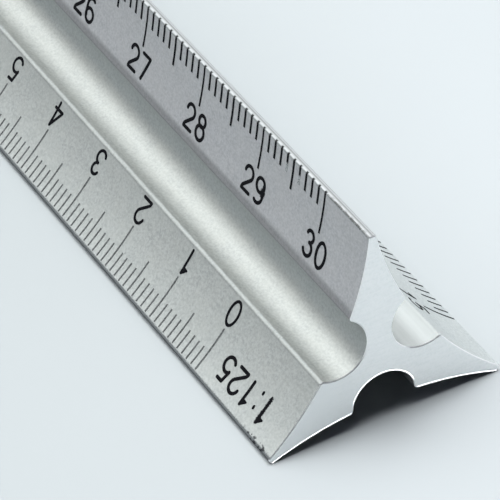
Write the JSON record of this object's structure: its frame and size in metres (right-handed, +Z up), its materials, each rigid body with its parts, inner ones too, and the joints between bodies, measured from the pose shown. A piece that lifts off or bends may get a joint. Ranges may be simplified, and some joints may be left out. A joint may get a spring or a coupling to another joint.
{
  "type": "triangular scale ruler",
  "caption": "Triangular drafting scale ruler: solid aluminium bar with three hollow, grooved sides and inked metric ratio scales along its edges.",
  "frame": {"origin": "centre of the bar's bounding box in X and Y, on the surface that the ruler lies on", "axes": "+X along the bar, towards the end where the 1:100 scale reads its highest number; +Z up, through the top edge; -Y is the side that carries the 1:100 and 1:125 scales"},
  "size_m": [0.3198, 0.021, 0.0182],
  "materials": {
    "anodised_aluminium": "satin clear anodised extrusion",
    "line_ink": "thin matt black ink",
    "fine_line_ink": "thin matt dark grey ink, lightly printed",
    "numeral_ink": "thin matt black ink"
  },
  "bodies": {
    "root": {"extruded_bar": "anodised_aluminium", "scale_1to100_unit_lines": "line_ink", "scale_1to100_middle_lines": "line_ink", "scale_1to100_fine_lines": "line_ink", "scale_1to100_numerals": "numeral_ink", "scale_1to100_ratio": "numeral_ink", "scale_1to125_unit_lines": "fine_line_ink", "scale_1to125_middle_lines": "fine_line_ink", "scale_1to125_fine_lines": "fine_line_ink", "scale_1to125_numerals": "numeral_ink", "scale_1to125_ratio": "numeral_ink", "scale_1to50_unit_lines": "line_ink", "scale_1to50_middle_lines": "line_ink", "scale_1to50_fine_lines": "line_ink", "scale_1to50_numerals": "numeral_ink", "scale_1to50_ratio": "numeral_ink", "scale_1to75_unit_lines": "line_ink", "scale_1to75_middle_lines": "line_ink", "scale_1to75_fine_lines": "line_ink", "scale_1to75_numerals": "numeral_ink", "scale_1to75_ratio": "numeral_ink", "scale_1to20_unit_lines": "line_ink", "scale_1to20_middle_lines": "line_ink", "scale_1to20_fine_lines": "line_ink", "scale_1to20_numerals": "numeral_ink", "scale_1to20_ratio": "numeral_ink", "scale_1to25_unit_lines": "line_ink", "scale_1to25_middle_lines": "line_ink", "scale_1to25_fine_lines": "line_ink", "scale_1to25_numerals": "numeral_ink", "scale_1to25_ratio": "numeral_ink"}
  },
  "joints": []
}
